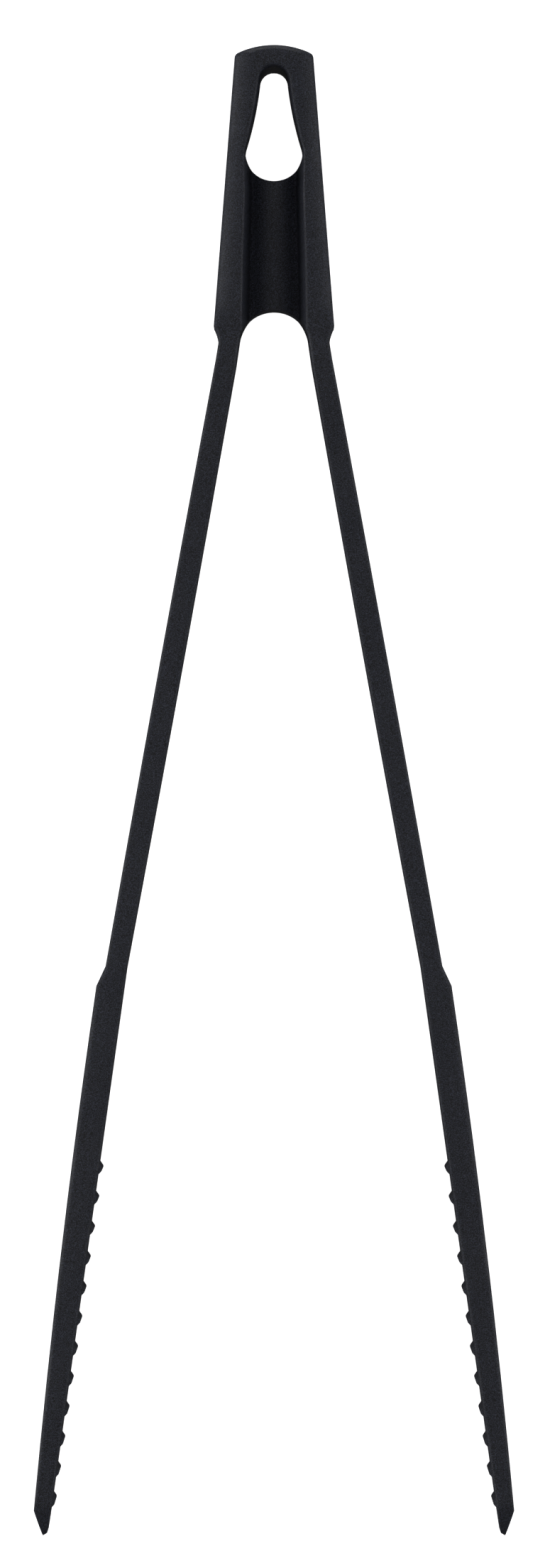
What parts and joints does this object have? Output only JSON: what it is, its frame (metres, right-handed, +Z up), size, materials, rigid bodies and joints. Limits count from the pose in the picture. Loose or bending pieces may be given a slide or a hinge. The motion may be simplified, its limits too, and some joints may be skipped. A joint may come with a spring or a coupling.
{
  "type": "kitchen tongs",
  "caption": "Spring loaded kitchen tongs with a keyhole hanging window, flexing necks, straight arms and toothed jaws.",
  "frame": {"origin": "middle of the outline's box, on the surface that the tongs lie on", "axes": "+Y along the tongs from the jaws to the head, +X across the opening, +Z up through the depth of the arms"},
  "size_m": [0.0966, 0.3, 0.024],
  "materials": {
    "nylon": "fine moulded texture, matt",
    "sleeve": "fine moulded texture, matt, flexible grade",
    "spring_steel": "cold rolled strip",
    "fastener_steel": "blackened"
  },
  "bodies": {
    "head": {"head_front_shell": "nylon", "head_rear_shell": "nylon", "spring_band": "spring_steel", "head_screws": "fastener_steel", "left_neck_sleeve": "sleeve", "right_neck_sleeve": "sleeve"},
    "left_arm": {"left_arm": "nylon", "left_jaw": "nylon", "left_band_rivets": "fastener_steel", "left_jaw_rivets": "fastener_steel"},
    "right_arm": {"right_arm": "nylon", "right_jaw": "nylon", "right_band_rivets": "fastener_steel", "right_jaw_rivets": "fastener_steel"}
  },
  "joints": [
    {"name": "left_neck_bend", "type": "hinge", "parent": "head", "child": "left_arm", "pos_m": [-0.009, 0.09, 0.012], "axis": [0, 0, 1], "range_deg": [-3, 10.7], "stiffness_Nm_per_rad": 3, "deforming": ["left_neck_sleeve", "spring_band"]},
    {"name": "right_neck_bend", "type": "hinge", "parent": "head", "child": "right_arm", "pos_m": [0.009, 0.09, 0.012], "axis": [0, 0, -1], "range_deg": [-3, 10.7], "stiffness_Nm_per_rad": 3, "deforming": ["right_neck_sleeve", "spring_band"]}
  ]
}
